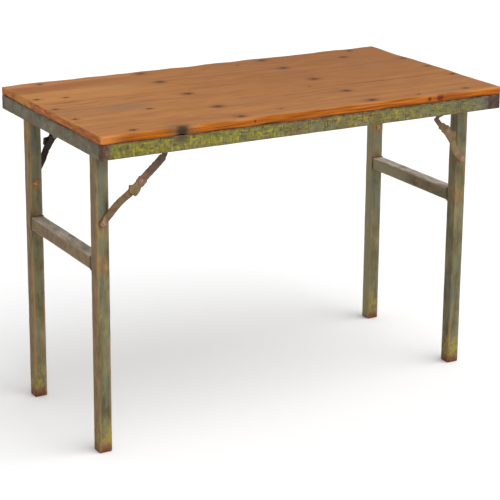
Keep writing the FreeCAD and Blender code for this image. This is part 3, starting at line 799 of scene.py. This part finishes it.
folds = {joint["name"]: Vector(joint["pos_m"]) for joint in frame["joints"]}
pivot_height = folds["left_leg_fold"].z
bar_low, bar_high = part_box("left_cross_bar")
leg_in, leg_out = [corner.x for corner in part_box("right_front_leg")]
rivet_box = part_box("front_left_leg_rivet")
rivet_height = (rivet_box[0].z + rivet_box[1].z) / 2
tube_corner = 0.0032
leg_paint = tube_paint("leg_paint", 0)
bar_paint = tube_paint("bar_paint", 1)

legs = {
    "left_leg_frame": ("left_front_leg", "left_back_leg"),
    "right_leg_frame": ("right_front_leg", "right_back_leg"),
}
for body, names in legs.items():
    for name in names:
        low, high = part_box(name)
        half = (high.x - low.x) / 2
        middle = (low + high) / 2
        count = round((pivot_height - low.z) / 0.012)
        heights = [(low.z + (pivot_height - low.z) * i / count, half) for i in range(count + 1)]
        for degrees in range(15, 91, 15):
            angle = math.radians(min(degrees, 84))
            heights.append((pivot_height + half * math.sin(angle), half * math.cos(angle)))
        shape = loft([ring(Vector((middle.x, middle.y, z)), wide, half, tube_corner) for z, wide in heights])
        weather(shape, 0.0004, 0.03, middle.y * 20 + middle.x)
        piece = as_piece(name + "_tube", as_mesh(name, shape), leg_paint)
        mark_edges(piece.data, 4 * (arc_steps + 1 + len(side_shares)))
        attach(piece, body)
        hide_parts(name)

bar_into_leg = 0.0015
for body, name in (("left_leg_frame", "left_cross_bar"), ("right_leg_frame", "right_cross_bar")):
    low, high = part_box(name)
    half = (high.x - low.x) / 2
    middle = (low + high) / 2
    start, end = low.y - bar_into_leg, high.y + bar_into_leg
    count = round((end - start) / 0.012)
    loops = []
    for step in range(count + 1):
        level = ring(Vector((0, 0, 0)), half, half, tube_corner)
        along_y = start + (end - start) * step / count
        loops.append([Vector((middle.x + p.x, along_y, middle.z + p.y)) for p in level])
    shape = loft(loops)
    weather(shape, 0.0004, 0.03, middle.x * 30)
    piece = as_piece(name + "_tube", as_mesh(name, shape), bar_paint)
    mark_edges(piece.data, 4 * (arc_steps + 1 + len(side_shares)))
    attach(piece, body)
    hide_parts(name)

# ------------------------------------------------------------------ feet
# A small plate closes each leg at the floor. Wet floors have rusted it brown and orange, and its
# lower edge is worn round.
foot_iron, tree, shader, place = new_material("foot_iron")
clouds = speckle(tree, place, (120, 120, 120), detail=5)
shade = ramp(tree, clouds, [
    (0.3, colour(66, 34, 16)), (0.48, colour(108, 58, 26)), (0.62, colour(140, 78, 34)), (0.78, colour(150, 120, 48)),
])
finish_with(tree, shader, shade, 0.75, clouds, 0.0008)
foot_profile = [(0.0, 0.003), (0.0004, 0.0017), (0.001, 0.0008), (0.0018, 0.0002), (0.003, 0.0)]
for side in ("left", "right"):
    shape = bmesh.new()
    for low, high in solids_of(side + "_feet"):
        centre = (low + high) / 2
        half = (high.x - low.x) / 2
        loops = []
        for height, inset in foot_profile:
            loops.append(ring(Vector((centre.x, centre.y, height)), half - inset, half - inset, tube_corner))
        plate = loft(loops)
        plate_mesh = as_mesh("plate", plate)
        shape.from_mesh(plate_mesh)
        bpy.data.meshes.remove(plate_mesh)
    feet = as_piece(side + "_feet_worn", as_mesh(side + "_feet", shape), foot_iron)
    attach(feet, side + "_leg_frame")
    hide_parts(side + "_feet")

# ------------------------------------------------------------------ hinge bolts
# Each leg turns on a hexagon bolt through its two ears and a sleeve welded into the tube, with a
# nut at the far end. The steel has gone dull and brown.
hardware, tree, shader, place = new_material("hardware_steel")
clouds = speckle(tree, place, (160, 160, 160), detail=5)
shade = ramp(tree, clouds, [(0.3, colour(60, 48, 40)), (0.5, colour(98, 84, 70)), (0.72, colour(132, 116, 96))])
finish_with(tree, shader, shade, 0.5, clouds, 0.0004)
shader.inputs["Metallic"].default_value = 0.5
for side in ("left", "right"):
    worn_copy(side + "_pivot_bolts", "top", hardware, 0.0008, 2, 0.0001, 3.0)
    worn_copy(side + "_pivot_nuts", "top", hardware, 0.0008, 2, 0.0001, 5.0)
    for slot in frame["nodes"][side + "_pivot_bushes"].material_slots:
        slot.material = hardware

# ------------------------------------------------------------------ braces
# Four folding braces, each of two hammered straps joined by a rivet. A lug turned over at the end
# of the upper strap stops the elbow when the brace is straight. The iron is bare and brown, with
# traces of green paint, and is rubbed bright round the elbow.
brace_iron, tree, shader, place = new_material("brace_iron")
clouds = speckle(tree, place, (70, 70, 70), detail=5, rough=0.7)
pits = speckle(tree, place, (420, 420, 420), detail=3)
shade = ramp(tree, clouds, [
    (0.28, colour(58, 36, 22)), (0.42, colour(96, 66, 42)), (0.56, colour(122, 88, 60)), (0.75, colour(150, 116, 86)),
])
x, y, z = split(tree, place)
green = between(tree, speckle(tree, place, (46, 46, 46), detail=4, shift=(2, 7, 4)), 0.52, 0.62)
shade = coat(tree, calc(tree, "MULTIPLY", green, 0.65), shade, colour(104, 94, 44))
right_pair = between(tree, x, -0.1, 0.1)
shade = coat(tree, calc(tree, "MULTIPLY", right_pair, 0.4), shade, colour(122, 104, 62))
# Painted shadow: the braces darken towards their upper ends, under the rail.
rail_shadow = between(tree, z, rivet_height + 0.085, rivet_height + 0.14)
shade = coat(tree, calc(tree, "MULTIPLY", rail_shadow, 0.75), shade, colour(58, 36, 28))
shaded = between(tree, y, 0.0, 0.1)
shade = coat(tree, calc(tree, "MULTIPLY", shaded, 0.9), shade, colour(28, 21, 17))
dark = between(tree, pits, 0.6, 0.72)
shade = coat(tree, calc(tree, "MULTIPLY", dark, 0.55), shade, colour(62, 42, 32))
height = calc(tree, "ADD", clouds, calc(tree, "MULTIPLY", pits, 0.5))
finish_with(tree, shader, shade, 0.66, height, 0.001)
shader.inputs["Metallic"].default_value = 0.15

rivet_steel, tree, shader, place = new_material("rubbed_rivet")
clouds = speckle(tree, place, (240, 240, 240), detail=4)
shade = ramp(tree, clouds, [(0.3, colour(90, 62, 46)), (0.55, colour(138, 104, 82)), (0.75, colour(172, 142, 118))])
finish_with(tree, shader, shade, 0.5, clouds, 0.0004)
shader.inputs["Metallic"].default_value = 0.3

orange_rust, tree, shader, place = new_material("rivet_end_rust")
clouds = speckle(tree, place, (300, 300, 300), detail=4)
shade = ramp(tree, clouds, [(0.35, colour(104, 58, 24)), (0.5, colour(156, 96, 40)), (0.65, colour(190, 140, 72))])
finish_with(tree, shader, shade, 0.7, clouds, 0.0005)


def hammer(link, start, end, bow, swell, bulb=0.0):
    """Bends a link between its pins and widens it there. bow is (share of the length, metres up)."""
    flat_start, flat_end = Vector((start.x, 0, start.z)), Vector((end.x, 0, end.z))
    span = (flat_end - flat_start).length
    along = (flat_end - flat_start) / span
    across = Vector((-along.z, 0, along.x))
    if across.z < 0:
        across = -across
    for vertex in link.data.vertices:
        offset = Vector((vertex.co.x, 0, vertex.co.z)) - flat_start
        share = offset.dot(along) / span
        aside = offset.dot(across)
        if 0 < share < 1:
            middle = math.sin(math.pi * share)
            lift = 0.0
            for (s0, b0), (s1, b1) in zip(bow, bow[1:]):
                if s0 <= share <= s1:
                    t = (share - s0) / (s1 - s0)
                    lift = b0 + (b1 - b0) * t * t * (3 - 2 * t)
            vertex.co += across * (lift + aside * (swell - 1) * min(1.0, 2.5 * middle))
        elif share >= 1 and bulb:
            t = (share - 1) * span / bulb
            shape = 1.04 - 0.24 * math.exp(-((t - 0.3) / 0.16) ** 2) - 0.3 * max(0.0, (t - 0.76) / 0.24) ** 2
            if aside > 0:
                shape += 0.4 * math.exp(-((t - 0.62) / 0.14) ** 2)
            vertex.co += across * aside * (shape - 1)


bows = {
    "front_left": ([(0, 0), (0.2, -0.008), (1, 0)], [(0, 0), (0.5, 0.0065), (1, 0)]),
    "back_right": ([(0, 0), (0.3, -0.004), (1, 0)], [(0, 0), (0.45, 0.005), (1, 0)]),
    "front_right": ([(0, 0), (0.7, -0.004), (1, 0)], [(0, 0), (0.45, -0.0055), (1, 0)]),
    "back_left": ([(0, 0), (0.7, -0.004), (1, 0)], [(0, 0), (0.45, -0.0055), (1, 0)]),
}
for seed, brace in enumerate(("front_left", "back_left", "front_right", "back_right")):
    upper, lower = brace + "_upper_link", brace + "_lower_link"
    rail_pin, elbow_pin = [folds[brace + end] for end in ("_rail_pivot", "_elbow_pivot")]
    leg_pin = sum(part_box(brace + "_leg_rivet"), Vector()) / 2
    upper_bow, lower_bow = bows[brace]
    link = worn_copy(upper, upper, brace_iron, 0.001, 3, 0.0005, 10.0 + seed)
    hammer(link, rail_pin, elbow_pin, upper_bow, 1.05, bulb=0.034)
    link = worn_copy(lower, lower, brace_iron, 0.001, 3, 0.0005, 20.0 + seed)
    hammer(link, leg_pin, elbow_pin, lower_bow, 1.2)
    worn_copy(brace + "_elbow_rivet", upper, rivet_steel, 0.0006, 5, 0.0002, 30.0 + seed)
    worn_copy(brace + "_leg_rivet", lower, rivet_steel, 0.0006, 5, 0.0002, 40.0 + seed)
    worn_copy(brace + "_brace_bolt", "top", rim_paint, 0.0006, 3, 0.0001, 50.0 + seed)
    worn_copy(brace + "_brace_nut", "top", hardware, 0.0006, 2, 0.0001, 60.0 + seed)
    low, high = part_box(("left" if "left" in brace else "right") + ("_front_leg" if "front" in brace else "_back_leg"))
    far_y = high.y if "front" in brace else low.y
    dome = bmesh.new()
    bmesh.ops.create_uvsphere(dome, u_segments=20, v_segments=10, radius=0.0065)
    for vertex in dome.verts:
        vertex.co.y *= 0.42
        vertex.co += Vector((leg_pin.x, far_y, leg_pin.z))
    weather(dome, 0.0004, 0.004, 70.0 + seed)
    rivet_end = as_piece(brace + "_rivet_end", as_mesh(brace + "_rivet_end", dome), orange_rust)
    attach(rivet_end, ("left" if "left" in brace else "right") + "_leg_frame")
    for slot in frame["nodes"][brace + "_brace_spacer"].material_slots:
        slot.material = brace_iron

# ------------------------------------------------------------------ welds
# Stick welds, one bead laid over the next: round both ends of each cross bar, along each hinge
# ear, and down the outside of the rim's corners. Slag and rust have turned them brown.
tree, given, out = new_tree("weld run", [
    ("Bead radius", "Float"), ("Spacing", "Float"), ("Seed", "Int"), ("Material", "Material"),
])
line = add(tree, "GeometryNodeMeshToCurve", {"Mesh": given["Geometry"]})
marks = add(tree, "GeometryNodeResampleCurve", {"Curve": line.outputs[0], "Length": given["Spacing"]}, mode="LENGTH")
bead = add(tree, "GeometryNodeMeshIcoSphere", {"Radius": given["Bead radius"], "Subdivisions": 2})
scale = add(tree, "FunctionNodeRandomValue", {
    0: (0.75, 0.75, 0.75), 1: (1.2, 1.2, 1.2), "Seed": given["Seed"],
}, data_type="FLOAT_VECTOR")
run = add(tree, "GeometryNodeInstanceOnPoints", {
    "Points": marks.outputs[0], "Instance": bead.outputs[0], "Scale": scale.outputs[0],
})
real = add(tree, "GeometryNodeRealizeInstances", {0: run.outputs[0]})
smooth = add(tree, "GeometryNodeSetShadeSmooth", {"Geometry": real.outputs[0]})
painted = add(tree, "GeometryNodeSetMaterial", {"Geometry": smooth.outputs[0], "Material": given["Material"]})
tree.links.new(painted.outputs[0], out[0])
weld_run = tree

weld_iron, tree, shader, place = new_material("weld_iron")
clouds = speckle(tree, place, (150, 150, 150), detail=4)
shade = ramp(tree, clouds, [(0.3, colour(52, 38, 22)), (0.5, colour(82, 62, 36)), (0.7, colour(118, 94, 50))])
finish_with(tree, shader, shade, 0.65, clouds, 0.0005)


def weld(name, body, runs, radius, seed):
    """Beads along several lines of points, all on one body."""
    points = [point for run in runs for point in run]
    edges, start = [], 0
    for run in runs:
        edges += [(start + i, start + i + 1) for i in range(len(run) - 1)]
        start += len(run)
    mesh = bpy.data.meshes.new(name)
    mesh.from_pydata(points, edges, [])
    piece = as_piece(name, mesh)
    grow(piece, weld_run, {"Bead radius": radius, "Spacing": radius * 1.05, "Seed": seed, "Material": weld_iron})
    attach(piece, body)


for seed, side in enumerate(("left", "right")):
    low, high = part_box(side + "_cross_bar")
    half = (high.x - low.x) / 2 + 0.0002
    middle = (low + high) / 2
    runs = []
    for face in (low.y + 0.0006, high.y - 0.0006):
        level = ring(Vector((0, 0, 0)), half, half, tube_corner)
        around = [Vector((middle.x + p.x, face, middle.z + p.y)) for p in level]
        runs.append(around + around[:1])
    weld(side + "_bar_welds", side + "_leg_frame", runs, 0.0021, 11 + seed)

runs = []
for name in ("hinge_ears_left", "hinge_ears_right"):
    ears = solids_of(name)
    for number, (low, high) in enumerate(sorted(ears, key=lambda corners: corners[0].y)):
        face = low.y if number % 2 == 0 else high.y
        runs.append([Vector((low.x + 0.002, face, high.z)), Vector((high.x - 0.002, face, high.z))])
weld("ear_welds", "top", runs, 0.0018, 21)
runs = []
for sx in (-1, 1):
    for sy in (-1, 1):
        corner = Vector((sx * (rim_high.x - 0.0006), sy * (-rim_low.y - 0.0006), 0))
        top, bottom = rim_high.z - 0.003, rim_low.z + 0.002
        runs.append([corner + Vector((0, 0, bottom)), corner + Vector((0, 0, top))])
weld("rim_corner_welds", "top", runs, 0.0011, 31)

# ------------------------------------------------------------------ studio
# A pale floor in a pale room that is darker on the left, and one wide soft light over the front
# right. The camera stands off the front left corner and looks down at the top.
scene = bpy.context.scene
scene.view_settings.view_transform = "Standard"

pale, tree, shader, place = new_material("pale_floor")
shader.inputs["Base Color"].default_value = (0.93, 0.93, 0.93, 1.0)
shader.inputs["Roughness"].default_value = 0.9
ground = bmesh.new()
bmesh.ops.create_grid(ground, x_segments=1, y_segments=1, size=30.0)
floor = as_piece("floor", as_mesh("floor", ground), pale)

room = bpy.data.worlds.new("room")
room.use_nodes = True
tree = room.node_tree
side = split(tree, add(tree, "ShaderNodeTexCoord").outputs["Generated"])[0]
wall = coat(tree, between(tree, side, -0.9, 0.4), (0.5, 0.5, 0.5, 1), (0.74, 0.74, 0.74, 1))
tree.links.new(wall, tree.nodes["Background"].inputs["Color"])
scene.world = room

lamp = bpy.data.lights.new("soft_box", "SUN")
lamp.energy = 2.5
lamp.angle = math.radians(85)
soft_box = bpy.data.objects.new("soft_box", lamp)
soft_box.rotation_euler = Vector((0.36, -0.62, 0.7)).to_track_quat("Z", "Y").to_euler()
scene.collection.objects.link(soft_box)

lens = bpy.data.cameras.new("camera")
lens.lens = 123.74
lens.sensor_width = 36.0
lens.shift_x = 0.03
lens.shift_y = -0.15
lens.clip_end = 100.0
camera = bpy.data.objects.new("camera", lens)
yaw, pitch, roll = -0.5123, -0.2701, -0.0056
level_gaze = Matrix.Rotation(math.pi / 2, 4, "X")
turn = Matrix.Rotation(yaw, 4, "Z") @ Matrix.Rotation(pitch, 4, "X") @ Matrix.Rotation(roll, 4, "Y")
camera.matrix_world = Matrix.Translation((-2.04494, -3.55386, 1.67006)) @ turn @ level_gaze
scene.collection.objects.link(camera)
scene.camera = camera
